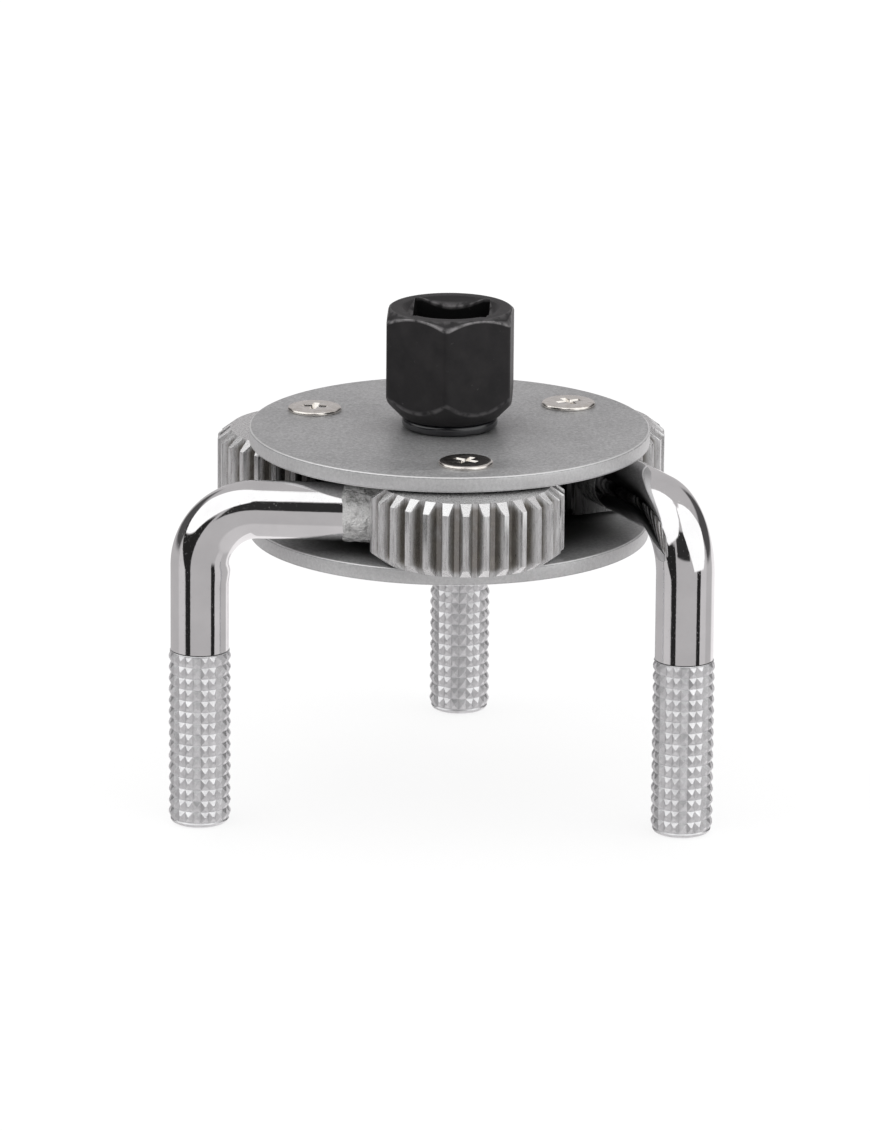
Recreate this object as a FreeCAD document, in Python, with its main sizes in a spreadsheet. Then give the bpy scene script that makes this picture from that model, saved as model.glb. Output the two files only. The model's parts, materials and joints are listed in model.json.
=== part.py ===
import FreeCAD, Part
import math
import os
import Sketcher

# Two-way three-jaw oil filter wrench.
#
# A hex drive with a 3/8 inch square socket turns a sun gear between two round plates. Three planet
# gears round it each carry a bent arm with a knurled grip, so the arms swing in onto a filter together.
# The origin is on the drive axis, level with the tips of the legs. +Z runs up the drive axis.
# All lengths are in millimetres and all angles in degrees.

DIMENSIONS = {
    # Two plates that hold the gears
    "plate_radius": 25.9,
    "plate_thickness": 2.0,
    "plate_gap": 10.2,
    "bottom_plate_level": 34.4,
    "rim_chamfer": 0.3,
    # Gear train
    "gear_module": 0.8,
    "pressure_angle": 20.0,
    "addendum": 0.65,
    "dedendum": 1.0,
    "sun_teeth": 18,
    "planet_teeth": 30,
    "gear_end_gap": 0.3,
    "bevel_depth": 1.65,
    "bevel_rise": 1.3,
    "backlash": 0.12,
    # Posts that the planet gears turn on, and their screws
    "post_radius": 4.0,
    "running_gap": 0.05,
    "thread_radius": 2.0,
    "thread_gap": 0.05,
    "screw_hole_radius": 2.2,
    "screw_grip": 4.2,
    "head_radius": 3.5,
    "head_height": 0.55,
    "head_chamfer": 0.25,
    "recess_width": 3.2,
    "recess_slot": 0.85,
    "recess_depth": 1.3,
    # Drive: hex head, neck, journals and the flats that carry the sun gear
    "hex_across": 16.0,
    "hex_bottom": 50.1,
    "hex_top": 64.4,
    "hex_turn": -99.5,
    "hex_corner_round": 0.7,
    "crown_radius": 7.85,
    "crown_drop": 1.25,
    "skirt_radius": 6.3,
    "skirt_flat_rise": 1.75,
    "skirt_corner_rise": 3.45,
    "neck_radius": 5.65,
    "upper_journal": 4.5,
    "shaft_flat": 3.75,
    "lower_journal": 3.6,
    "shaft_bottom": 31.7,
    "shaft_chamfer": 0.5,
    "socket_across": 9.8,
    "socket_depth": 11.5,
    "mouth_radius": 6.3,
    "mouth_slope": 39.0,
    # Rings on the drive shaft
    "thrust_ring_radius": 6.2,
    "thrust_ring_height": 1.4,
    "thrust_ring_round": 0.6,
    "plate_clearance": 0.05,
    "washer_radius": 6.2,
    "washer_height": 0.8,
    "washer_clearance": 0.2,
    "clip_radius": 5.6,
    "clip_height": 0.7,
    "clip_groove": 3.1,
    "clip_opening": 5.2,
    # Jaw arms: round rod, bent down into a leg with a knurled grip
    "rod_radius": 3.75,
    "rod_level": 41.9,
    "arm_length": 34.0,
    "arm_rest_angle": -100.6,
    "bend_radius": 7.5,
    "grip_radius": 4.0,
    "grip_length": 23.1,
    "grip_end_round": 1.5,
    "grip_top_chamfer": 0.2,
    "seat_distance": 10.4,
    "seat_width": 8.8,
    "bead_end": 15.4,
    "bead_radius": 4.0,
    "bead_end_radius": 3.85,
}

JAW_DIRECTIONS = (-90.0, 30.0, 150.0)

# How close two lengths are when they count as the same
TOLERANCE = 1e-4

# How far a cut reaches past the body that it cuts
BEYOND = 1.0

# How far a tooth space is drawn past the pitch circle, in modules, so that it clears the tooth tips
SPACE_REACH = 1.4

doc = FreeCAD.newDocument("OilFilterWrench")
sheet = doc.addObject("Spreadsheet::Sheet", "Size")
for row, (alias, size) in enumerate(DIMENSIONS.items(), start=1):
    sheet.set(f"A{row}", alias)
    sheet.set(f"B{row}", str(size))
    sheet.setAlias(f"B{row}", alias)
doc.recompute()

# Sizes that follow from the driving dimensions, as expressions on the sheet
CENTRE_DISTANCE = "Size.gear_module * (Size.sun_teeth + Size.planet_teeth) / 2"
GEAR_THICKNESS = "(Size.plate_gap - 2 * Size.gear_end_gap)"
GEAR_LEVEL = "Size.bottom_plate_level + Size.plate_thickness + Size.gear_end_gap"
GAP_BOTTOM = "(Size.bottom_plate_level + Size.plate_thickness)"
GAP_TOP = "(Size.bottom_plate_level + Size.plate_thickness + Size.plate_gap)"
TOP_FACE = "(Size.bottom_plate_level + 2 * Size.plate_thickness + Size.plate_gap)"
WASHER_TOP = "(Size.bottom_plate_level - Size.washer_clearance)"
WASHER_BOTTOM = "(Size.bottom_plate_level - Size.washer_clearance - Size.washer_height)"
CLIP_BOTTOM = "(Size.bottom_plate_level - Size.washer_clearance - Size.washer_height - Size.clip_height)"
NECK_BOTTOM = f"({TOP_FACE} + Size.plate_clearance + Size.thrust_ring_height)"


def value(expression):
    """The number that an expression on the sheet stands for."""
    return float(sheet.evalExpression(expression))


def new_body(label):
    """An empty body whose label names its file."""
    body = doc.addObject("PartDesign::Body", label)
    body.Label = label
    return body


def new_sketch(body, name, role, lift="0", turn="0"):
    """A sketch on one of the body's origin planes, raised by lift and turned by turn about its normal."""
    sketch = body.newObject("Sketcher::SketchObject", name)
    plane = next(feature for feature in body.Origin.OriginFeatures if feature.Role == role)
    sketch.AttachmentSupport = (plane, "")
    sketch.MapMode = "FlatFace"
    turned = FreeCAD.Rotation(FreeCAD.Vector(0, 0, 1), value(turn))
    sketch.AttachmentOffset = FreeCAD.Placement(FreeCAD.Vector(0, 0, value(lift)), turned)
    sketch.setExpression(".AttachmentOffset.Base.z", lift)
    return sketch


def pin_point(sketch, geometry, point, place):
    """Ties a point of the sketch to a place given by two expressions."""
    for kind, expression in zip(("DistanceX", "DistanceY"), place):
        index = sketch.addConstraint(Sketcher.Constraint(kind, -1, 1, geometry, point, value(expression)))
        sketch.setExpression(f"Constraints[{index}]", expression)


def outline(body, name, role, corners, lift="0", turn="0"):
    """A sketch that holds one closed outline of straight edges whose corners are tied to the sheet."""
    sketch = new_sketch(body, name, role, lift, turn)
    points = [FreeCAD.Vector(value(x), value(y), 0) for x, y in corners]
    count = len(points)
    for index in range(count):
        sketch.addGeometry(Part.LineSegment(points[index], points[(index + 1) % count]), False)
    for index in range(count):
        sketch.addConstraint(Sketcher.Constraint("Coincident", index, 2, (index + 1) % count, 1))
    for index, place in enumerate(corners):
        pin_point(sketch, index, 1, place)
    return sketch


def circle(body, name, role, radius, centre=("0", "0"), lift="0"):
    """A circle whose radius and centre are tied to the sheet."""
    sketch = new_sketch(body, name, role, lift)
    middle = FreeCAD.Vector(value(centre[0]), value(centre[1]), 0)
    sketch.addGeometry(Part.Circle(middle, FreeCAD.Vector(0, 0, 1), value(radius)), False)
    index = sketch.addConstraint(Sketcher.Constraint("Radius", 0, value(radius)))
    sketch.setExpression(f"Constraints[{index}]", radius)
    pin_point(sketch, 0, 3, centre)
    return sketch


def revolve(body, name, sketch, kind="PartDesign::Revolution", axis="V_Axis"):
    """A full turn of a sketch, added or cut away."""
    feature = body.newObject(kind, name)
    feature.Profile = sketch
    feature.ReferenceAxis = (sketch, [axis])
    feature.Angle = 360
    return feature


def pad(body, name, sketch, length):
    """A sketch raised along its normal."""
    feature = body.newObject("PartDesign::Pad", name)
    feature.Profile = sketch
    feature.setExpression("Length", length)
    return feature


def cut_through(body, name, sketch):
    """A sketch cut right through the body, both ways from its plane."""
    feature = body.newObject("PartDesign::Pocket", name)
    feature.Profile = sketch
    feature.Type = "ThroughAll"
    feature.Midplane = True
    return feature


def cut_down(body, name, sketch, depth):
    """A sketch cut below its plane to a depth."""
    feature = body.newObject("PartDesign::Pocket", name)
    feature.Profile = sketch
    feature.setExpression("Length", depth)
    return feature


def repeat_round(body, name, feature, sketch, count):
    """Copies of a feature, evenly spaced about the sketch's normal."""
    pattern = body.newObject("PartDesign::PolarPattern", name)
    pattern.Originals = [feature]
    pattern.Axis = (sketch, ["N_Axis"])
    pattern.Angle = 360
    pattern.setExpression("Occurrences", count)
    body.Tip = pattern
    return pattern


def round_edges(shape, radius, level):
    """The names of the full round edges of a radius at a level."""
    names = []
    for index, edge in enumerate(shape.Edges, start=1):
        if not isinstance(edge.Curve, Part.Circle):
            continue
        same_level = abs(edge.Curve.Center.z - level) < TOLERANCE
        if same_level and abs(edge.Curve.Radius - radius) < TOLERANCE:
            names.append(f"Edge{index}")
    return names


def upright_edges(shape):
    """The names of the straight edges that run along Z."""
    names = []
    for index, edge in enumerate(shape.Edges, start=1):
        if isinstance(edge.Curve, Part.Line) and abs(abs(edge.Curve.Direction.z) - 1) < TOLERANCE:
            names.append(f"Edge{index}")
    return names


def round_off(body, name, base, find_edges, radius):
    """Rounds the edges of a feature that find_edges picks out."""
    doc.recompute()
    rounding = body.newObject("PartDesign::Fillet", name)
    rounding.Base = (base, find_edges(base.Shape))
    rounding.setExpression("Radius", radius)
    body.Tip = rounding
    return rounding


def rectangle(half_x, half_y):
    """The corners of a rectangle about the origin."""
    return [(f"-{half_x}", f"-{half_y}"), (half_x, f"-{half_y}"), (half_x, half_y), (f"-{half_x}", half_y)]


def ring_outline(body, name, inner, outer, low, high):
    """The half section of a plain ring."""
    return outline(body, name, "XZ_Plane", [(inner, low), (outer, low), (outer, high), (inner, high)])


def make_plate(label, low, bore):
    """A round plate with a bore for the drive and three holes for the post screws."""
    body = new_body(label)
    high = f"({low} + Size.plate_thickness)"
    edge = "(Size.plate_radius - Size.rim_chamfer)"
    section = outline(body, f"{label}_section", "XZ_Plane", [
        (bore, low),
        (edge, low),
        ("Size.plate_radius", f"{low} + Size.rim_chamfer"),
        ("Size.plate_radius", f"{high} - Size.rim_chamfer"),
        (edge, high),
        (bore, high),
    ])
    revolve(body, f"{label}_disc", section)
    hole = circle(body, f"{label}_hole", "XY_Plane", "Size.screw_hole_radius", (CENTRE_DISTANCE, "0"))
    drilled = cut_through(body, f"{label}_drilled", hole)
    repeat_round(body, f"{label}_holes", drilled, hole, str(len(JAW_DIRECTIONS)))
    body.Placement.Rotation = FreeCAD.Rotation(FreeCAD.Vector(0, 0, 1), JAW_DIRECTIONS[0])
    return body


def make_post(label):
    """A spacer between the plates: a journal for one planet gear, tapped right through."""
    body = new_body(label)
    section = ring_outline(
        body, f"{label}_section", "Size.thread_radius", "Size.post_radius", GAP_BOTTOM, GAP_TOP
    )
    revolve(body, f"{label}_turned", section)
    return body


def make_screw(label):
    """A low-headed cross-recess screw. Its head rests on z = 0 and its shank points down."""
    body = new_body(label)
    shank = "(Size.thread_radius - Size.thread_gap)"
    tip = "-(Size.plate_thickness + Size.screw_grip)"
    section = outline(body, f"{label}_section", "XZ_Plane", [
        ("0", tip),
        (f"{shank} - Size.head_chamfer", tip),
        (shank, f"{tip} + Size.head_chamfer"),
        (shank, "0"),
        ("Size.head_radius", "0"),
        ("Size.head_radius", "Size.head_height - Size.head_chamfer"),
        ("Size.head_radius - Size.head_chamfer", "Size.head_height"),
        ("0", "Size.head_height"),
    ])
    revolve(body, f"{label}_turned", section)
    for index, turn in enumerate(("45", "135")):
        slot = outline(
            body, f"{label}_slot_{index}", "XY_Plane",
            rectangle("Size.recess_width / 2", "Size.recess_slot / 2"), "Size.head_height", turn,
        )
        cut_down(body, f"{label}_recess_{index}", slot, "Size.recess_depth")
    return body


def involute(angle):
    """The involute function of an angle in radians."""
    return math.tan(angle) - angle


def polar(radius, angle):
    """A point in a sketch, by its radius and its angle in radians."""
    return FreeCAD.Vector(radius * math.cos(angle), radius * math.sin(angle), 0)


def space_half_angle(teeth, radius):
    """Half the angle of the space between two teeth, in radians, at a radius outside the base circle."""
    pressure = math.radians(value("Size.pressure_angle"))
    pitch_radius = value("Size.gear_module") * teeth / 2
    base_radius = pitch_radius * math.cos(pressure)
    play = value("Size.backlash") / 4 / pitch_radius
    local = math.acos(min(1.0, base_radius / radius))
    return math.pi / (2 * teeth) - involute(pressure) + involute(local) + play


def tooth_space_sketch(body, name, teeth):
    """The space between two teeth, centred on +X, with each involute flank as one arc."""
    gear_module = value("Size.gear_module")
    pitch_radius = gear_module * teeth / 2
    root_radius = pitch_radius - value("Size.dedendum")
    base_radius = pitch_radius * math.cos(math.radians(value("Size.pressure_angle")))
    end_radius = pitch_radius + gear_module * SPACE_REACH
    middle_radius = (base_radius + end_radius) / 2
    root_angle = space_half_angle(teeth, base_radius)
    right = [
        polar(root_radius, -root_angle),
        polar(base_radius, -root_angle),
        polar(middle_radius, -space_half_angle(teeth, middle_radius)),
        polar(end_radius, -space_half_angle(teeth, end_radius)),
    ]
    left = [FreeCAD.Vector(point.x, -point.y, 0) for point in right]
    edges = [
        Part.Arc(left[0], polar(root_radius, 0), right[0]),
        Part.LineSegment(right[0], right[1]),
        Part.Arc(right[1], right[2], right[3]),
        Part.LineSegment(right[3], left[3]),
        Part.Arc(left[3], left[2], left[1]),
        Part.LineSegment(left[1], left[0]),
    ]
    sketch = new_sketch(body, name, "XY_Plane")
    for edge in edges:
        sketch.addGeometry(edge, False)
    return sketch


def gear_blank_corners(teeth, bore, bevelled):
    """The half section of a gear blank whose tooth ends may be bevelled down to the root."""
    outer = f"(Size.gear_module * {teeth} / 2 + Size.addendum)"
    depth = "Size.bevel_depth" if bevelled else "Size.rim_chamfer"
    rise = "Size.bevel_rise" if bevelled else "Size.rim_chamfer"
    return [
        (bore, "0"),
        (f"{outer} - {depth}", "0"),
        (outer, rise),
        (outer, f"{GEAR_THICKNESS} - {rise}"),
        (f"{outer} - {depth}", GEAR_THICKNESS),
        (bore, GEAR_THICKNESS),
    ]


def cut_teeth(body, label, alias):
    """Cuts every tooth space of a gear."""
    teeth = int(value(alias))
    space = tooth_space_sketch(body, f"{label}_space", teeth)
    cut = cut_through(body, f"{label}_space_cut", space)
    return repeat_round(body, f"{label}_teeth", cut, space, alias)


def make_sun_gear(label):
    """The sun gear, bored for the round shaft with its two flats. A tooth points at each planet gear."""
    body = new_body(label)
    section = outline(
        body, f"{label}_section", "XZ_Plane", gear_blank_corners("Size.sun_teeth", "0", False)
    )
    revolve(body, f"{label}_blank", section)
    cut_teeth(body, label, "Size.sun_teeth")
    bore = double_flat_sketch(body, f"{label}_bore", "0")
    cut_through(body, f"{label}_bored", bore)
    body.Placement.Base.z = value(GEAR_LEVEL)
    return body


def double_flat_sketch(body, name, lift):
    """A round of the upper journal's radius with two flats, turned to match the hex."""
    radius = value("Size.upper_journal")
    flat = value("Size.shaft_flat")
    side = math.sqrt(radius ** 2 - flat ** 2)
    places = ((flat, -side), (flat, side), (-flat, side), (-flat, -side))
    corners = [FreeCAD.Vector(x, y, 0) for x, y in places]
    sketch = new_sketch(body, name, "XY_Plane", lift, "Size.hex_turn")
    sketch.addGeometry(Part.LineSegment(corners[0], corners[1]), False)
    sketch.addGeometry(Part.Arc(corners[1], FreeCAD.Vector(0, radius, 0), corners[2]), False)
    sketch.addGeometry(Part.LineSegment(corners[2], corners[3]), False)
    sketch.addGeometry(Part.Arc(corners[3], FreeCAD.Vector(0, -radius, 0), corners[0]), False)
    return sketch


def make_planet_gear(label):
    """A planet gear with a space at +X and a flat milled across its teeth as the seat of the arm."""
    body = new_body(label)
    section = outline(
        body, f"{label}_section", "XZ_Plane",
        gear_blank_corners("Size.planet_teeth", "(Size.post_radius + Size.running_gap)", True),
    )
    revolve(body, f"{label}_blank", section)
    cut_teeth(body, label, "Size.planet_teeth")
    outside = f"(Size.gear_module * Size.planet_teeth / 2 + Size.addendum + {BEYOND})"
    half = "Size.seat_width / 2"
    seat = outline(body, f"{label}_seat", "XY_Plane", [
        ("Size.seat_distance", f"-{half}"),
        (outside, f"-{half}"),
        (outside, half),
        ("Size.seat_distance", half),
    ], turn="Size.arm_rest_angle - 180")
    cut_through(body, f"{label}_seated", seat)
    return body


def make_drive_hex(label):
    """The hex head, neck and shaft in one piece, with the square socket in its top."""
    body = new_body(label)
    corner = "(Size.hex_across / sqrt(3))"
    hexagon = outline(
        body, f"{label}_hexagon", "XY_Plane",
        [(f"{corner} * cos({60 * k})", f"{corner} * sin({60 * k})") for k in range(6)],
        "Size.hex_bottom", "Size.hex_turn",
    )
    head = pad(body, f"{label}_head", hexagon, "Size.hex_top - Size.hex_bottom")
    round_off(body, f"{label}_corners", head, upright_edges, "Size.hex_corner_round")
    outside = f"({corner} + {BEYOND})"
    crown = outline(body, f"{label}_crown", "XZ_Plane", [
        ("Size.crown_radius", "Size.hex_top"),
        (corner, "Size.hex_top - Size.crown_drop"),
        (outside, "Size.hex_top - Size.crown_drop"),
        (outside, f"Size.hex_top + {BEYOND}"),
        ("Size.crown_radius", f"Size.hex_top + {BEYOND}"),
    ])
    revolve(body, f"{label}_crowned", crown, "PartDesign::Groove")
    skirt = outline(body, f"{label}_skirt", "XZ_Plane", [
        ("Size.skirt_radius", "Size.hex_bottom"),
        ("Size.hex_across / 2", "Size.hex_bottom + Size.skirt_flat_rise"),
        (corner, "Size.hex_bottom + Size.skirt_corner_rise"),
        (outside, "Size.hex_bottom + Size.skirt_corner_rise"),
        (outside, f"Size.hex_bottom - {BEYOND}"),
        ("Size.skirt_radius", f"Size.hex_bottom - {BEYOND}"),
    ])
    revolve(body, f"{label}_skirted", skirt, "PartDesign::Groove")
    shaft = outline(body, f"{label}_shaft", "XZ_Plane", [
        ("0", "Size.shaft_bottom"),
        ("Size.lower_journal - Size.shaft_chamfer", "Size.shaft_bottom"),
        ("Size.lower_journal", "Size.shaft_bottom + Size.shaft_chamfer"),
        ("Size.lower_journal", CLIP_BOTTOM),
        ("Size.clip_groove", CLIP_BOTTOM),
        ("Size.clip_groove", WASHER_BOTTOM),
        ("Size.lower_journal", WASHER_BOTTOM),
        ("Size.lower_journal", GEAR_LEVEL),
        ("0", GEAR_LEVEL),
    ])
    flats = double_flat_sketch(body, f"{label}_flats", GEAR_LEVEL)
    pad(body, f"{label}_gear_seat", flats, GEAR_THICKNESS)
    revolve(body, f"{label}_lower_journal", shaft)
    upper = f"({GEAR_LEVEL} + {GEAR_THICKNESS})"
    neck = outline(body, f"{label}_neck", "XZ_Plane", [
        ("0", upper),
        ("Size.upper_journal", upper),
        ("Size.upper_journal", NECK_BOTTOM),
        ("Size.neck_radius", NECK_BOTTOM),
        ("Size.neck_radius", "Size.hex_bottom"),
        ("0", "Size.hex_bottom"),
    ])
    revolve(body, f"{label}_upper_journal", neck)
    square = outline(
        body, f"{label}_square", "XY_Plane",
        rectangle("Size.socket_across / 2", "Size.socket_across / 2"), "Size.hex_top", "Size.hex_turn",
    )
    cut_down(body, f"{label}_socket", square, "Size.socket_depth")
    mouth = outline(body, f"{label}_mouth", "XZ_Plane", [
        ("0", f"Size.hex_top + {BEYOND}"),
        ("0", "Size.hex_top - Size.mouth_radius * tan(Size.mouth_slope)"),
        ("Size.mouth_radius", "Size.hex_top"),
        ("Size.mouth_radius", f"Size.hex_top + {BEYOND}"),
    ])
    revolve(body, f"{label}_mouthed", mouth, "PartDesign::Groove")
    return body


def make_ring(label, inner, outer, low, high):
    """A plain flat ring on the drive axis."""
    body = new_body(label)
    revolve(body, f"{label}_turned", ring_outline(body, f"{label}_section", inner, outer, low, high))
    return body


def make_thrust_ring(label):
    """The ring between the plate and the hex, with its outer edges well rounded."""
    low = f"({TOP_FACE} + Size.plate_clearance)"
    body = make_ring(label, "Size.upper_journal", "Size.thrust_ring_radius", low, NECK_BOTTOM)
    radius = value("Size.thrust_ring_radius")

    def outer_edges(shape):
        return [edge for level in (low, NECK_BOTTOM) for edge in round_edges(shape, radius, value(level))]

    round_off(body, f"{label}_rounded", body.Tip, outer_edges, "Size.thrust_ring_round")
    return body


def make_retaining_clip(label):
    """An open clip that snaps sideways into the groove of the shaft."""
    body = make_ring(label, "Size.clip_groove", "Size.clip_radius", CLIP_BOTTOM, WASHER_BOTTOM)
    half = "Size.clip_opening / 2"
    opening = outline(body, f"{label}_opening", "XY_Plane", [
        ("0", f"-{half}"),
        (f"Size.clip_radius + {BEYOND}", f"-{half}"),
        (f"Size.clip_radius + {BEYOND}", half),
        ("0", half),
    ], CLIP_BOTTOM)
    cut_through(body, f"{label}_opened", opening)
    return body


def make_jaw_arm(label):
    """A rod that runs out from the gear along +X, bends down and ends in a grip. The pivot is at x = 0."""
    body = new_body(label)
    run_end = "Size.arm_length - Size.bend_radius"
    bend_low = "Size.rod_level - Size.bend_radius"
    path = new_sketch(body, f"{label}_path", "XZ_Plane")
    start = FreeCAD.Vector(value("Size.seat_distance"), value("Size.rod_level"), 0)
    bend_start = FreeCAD.Vector(value(run_end), value("Size.rod_level"), 0)
    bend_end = FreeCAD.Vector(value("Size.arm_length"), value(bend_low), 0)
    centre = FreeCAD.Vector(value(run_end), value(bend_low), 0)
    radius = value("Size.bend_radius")
    grip_top = FreeCAD.Vector(value("Size.arm_length"), value("Size.grip_length"), 0)
    path.addGeometry(Part.LineSegment(start, bend_start), False)
    bend = Part.ArcOfCircle(Part.Circle(centre, FreeCAD.Vector(0, 0, 1), radius), 0, math.pi / 2)
    path.addGeometry(bend, False)
    path.addGeometry(Part.LineSegment(bend_end, grip_top), False)
    path.addConstraint(Sketcher.Constraint("Coincident", 0, 2, 1, 2))
    path.addConstraint(Sketcher.Constraint("Coincident", 1, 1, 2, 1))
    pin_point(path, 0, 1, ("Size.seat_distance", "Size.rod_level"))
    pin_point(path, 0, 2, (run_end, "Size.rod_level"))
    index = path.addConstraint(Sketcher.Constraint("Radius", 1, radius))
    path.setExpression(f"Constraints[{index}]", "Size.bend_radius")
    pin_point(path, 2, 1, ("Size.arm_length", bend_low))
    pin_point(path, 2, 2, ("Size.arm_length", "Size.grip_length"))
    rod = circle(
        body, f"{label}_rod_section", "YZ_Plane", "Size.rod_radius", ("0", "Size.rod_level"),
        "Size.seat_distance",
    )
    pipe = body.newObject("PartDesign::AdditivePipe", f"{label}_rod")
    pipe.Profile = rod
    pipe.Spine = (path, ["Edge1", "Edge2", "Edge3"])
    grip = circle(body, f"{label}_grip_section", "XY_Plane", "Size.grip_radius", ("Size.arm_length", "0"))
    knurled = pad(body, f"{label}_grip", grip, "Size.grip_length")
    outer = value("Size.grip_radius")

    def end_edge(shape):
        return round_edges(shape, outer, 0.0)

    round_end = round_off(body, f"{label}_grip_end", knurled, end_edge, "Size.grip_end_round")
    doc.recompute()
    shoulder = body.newObject("PartDesign::Chamfer", f"{label}_grip_shoulder")
    shoulder.Base = (round_end, round_edges(round_end.Shape, outer, value("Size.grip_length")))
    shoulder.setExpression("Size", "Size.grip_top_chamfer")
    body.Tip = shoulder
    return body


def make_weld_bead(label):
    """The sleeve of weld metal round the rod where it meets the gear, along +X."""
    body = new_body(label)
    section = outline(body, f"{label}_section", "XZ_Plane", [
        ("Size.seat_distance", "Size.rod_level + Size.rod_radius"),
        ("Size.bead_end", "Size.rod_level + Size.rod_radius"),
        ("Size.bead_end", "Size.rod_level + Size.bead_end_radius"),
        ("Size.seat_distance", "Size.rod_level + Size.bead_radius"),
    ])
    ends = (("0", "Size.rod_level"), ("Size.bead_end", "Size.rod_level"))
    points = [FreeCAD.Vector(value(x), value(y), 0) for x, y in ends]
    axis = section.addGeometry(Part.LineSegment(*points), True)
    for point, place in enumerate(ends, start=1):
        pin_point(section, axis, point, place)
    revolve(body, f"{label}_run", section, axis="Axis0")
    return body


def place_at_pivot(body, direction, turn, level=0.0):
    """Puts a body on the pivot that lies in a direction from the drive axis, turned about the pivot."""
    angle = math.radians(direction)
    distance = value(CENTRE_DISTANCE)
    base = FreeCAD.Vector(distance * math.cos(angle), distance * math.sin(angle), level)
    body.Placement = FreeCAD.Placement(base, FreeCAD.Rotation(FreeCAD.Vector(0, 0, 1), turn))


def make_frame():
    """The plates, posts and screws that hold everything."""
    bodies = [
        make_plate("top_plate", GAP_TOP, "(Size.upper_journal + Size.running_gap)"),
        make_plate("bottom_plate", "Size.bottom_plate_level", "(Size.lower_journal + Size.running_gap)"),
    ]
    for number, direction in enumerate(JAW_DIRECTIONS, start=1):
        post = make_post(f"pivot_post_{number}")
        place_at_pivot(post, direction, 0)
        top = make_screw(f"top_screw_{number}")
        place_at_pivot(top, direction, direction, value(TOP_FACE))
        bottom = make_screw(f"bottom_screw_{number}")
        place_at_pivot(bottom, direction, direction, value("Size.bottom_plate_level"))
        flipped = FreeCAD.Rotation(FreeCAD.Vector(1, 0, 0), 180)
        bottom.Placement.Rotation = bottom.Placement.Rotation.multiply(flipped)
        bodies += [post, top, bottom]
    return bodies


def make_drive():
    """Everything that turns with the hex."""
    return [
        make_drive_hex("drive_hex"),
        make_thrust_ring("thrust_ring"),
        make_sun_gear("sun_gear"),
        make_ring("lower_washer", "Size.lower_journal", "Size.washer_radius", WASHER_BOTTOM, WASHER_TOP),
        make_retaining_clip("retaining_clip"),
    ]


def make_jaws():
    """Three jaws, each a planet gear with its arm welded on."""
    bodies = []
    for number, direction in enumerate(JAW_DIRECTIONS, start=1):
        gear = make_planet_gear(f"planet_gear_{number}")
        place_at_pivot(gear, direction, direction + 180, value(GEAR_LEVEL))
        arm_direction = direction + value("Size.arm_rest_angle")
        arm = make_jaw_arm(f"jaw_arm_{number}")
        place_at_pivot(arm, direction, arm_direction)
        bead = make_weld_bead(f"weld_bead_{number}")
        place_at_pivot(bead, direction, arm_direction)
        bodies += [gear, arm, bead]
    return bodies


def check_document(bodies):
    """Stops if any object failed or any shape is missing, broken or more than one solid."""
    failed = [item.Name for item in doc.Objects if "Invalid" in item.State or "Error" in item.State]
    if failed:
        raise RuntimeError(f"failed objects: {failed}")
    for body in bodies:
        shape = body.Shape
        if shape.isNull() or not shape.isValid() or len(shape.Solids) != 1:
            raise RuntimeError(f"bad shape: {body.Label}")


def main():
    """Builds the wrench and writes one file for each piece."""
    bodies = make_frame() + make_drive() + make_jaws()
    doc.recompute()
    check_document(bodies)
    os.makedirs("parts", exist_ok=True)
    for body in bodies:
        body.Shape.exportStep(f"parts/{body.Label}.step")
        print(f"{body.Label} {body.Shape.Volume:.1f} mm3")


main()
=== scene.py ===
"""Looks of a geared three-jaw oil filter wrench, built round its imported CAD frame.

Everything is in metres in the frame's own axes: the drive axis is +Z through the origin, and the legs
stand on z = 0. Pieces are made about a pivot with the arm along +X, and then set in their place.
"""
import json
import math
import random

import bmesh
import bpy
from mathutils import Matrix, Vector, noise


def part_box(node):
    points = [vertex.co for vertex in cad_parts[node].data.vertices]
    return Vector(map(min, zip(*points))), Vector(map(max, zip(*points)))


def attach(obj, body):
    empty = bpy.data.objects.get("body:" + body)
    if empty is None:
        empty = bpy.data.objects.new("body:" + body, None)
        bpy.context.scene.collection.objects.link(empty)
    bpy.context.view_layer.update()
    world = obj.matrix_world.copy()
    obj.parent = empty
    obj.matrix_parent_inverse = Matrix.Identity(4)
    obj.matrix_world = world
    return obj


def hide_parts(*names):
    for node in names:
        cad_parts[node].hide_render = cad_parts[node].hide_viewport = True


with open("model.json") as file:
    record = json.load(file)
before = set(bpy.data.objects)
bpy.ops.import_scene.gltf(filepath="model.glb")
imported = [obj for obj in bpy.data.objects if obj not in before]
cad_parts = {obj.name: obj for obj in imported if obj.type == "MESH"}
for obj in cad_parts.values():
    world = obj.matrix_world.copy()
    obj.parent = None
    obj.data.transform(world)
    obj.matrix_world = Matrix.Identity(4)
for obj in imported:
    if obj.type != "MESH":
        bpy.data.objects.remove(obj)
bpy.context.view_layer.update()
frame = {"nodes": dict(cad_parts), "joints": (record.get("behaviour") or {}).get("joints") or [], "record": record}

MM = 0.001
JAWS = (1, 2, 3)
SEED = 7
STUDIO_TURN = 6.0
SKY_LIGHT = 0.75
FLOOR_LIGHT = 0.75
FLOOR_ALBEDO = 0.3

# ---------------------------------------------------------------- places and sizes read from the frame

MOUNTS = {mount["name"]: Vector(mount["pos_m"]) for mount in frame["record"]["mounts"]}
PIVOTS = {joint["child"]: Vector(joint["pos_m"]) for joint in frame["joints"]}


def levels(node):
    """The lowest and highest z of a CAD node."""
    low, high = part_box(node)
    return low.z, high.z


def widest(node):
    """Half the larger side of a CAD node's box, seen from above."""
    low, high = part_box(node)
    return max(high.x - low.x, high.y - low.y) / 2


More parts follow.
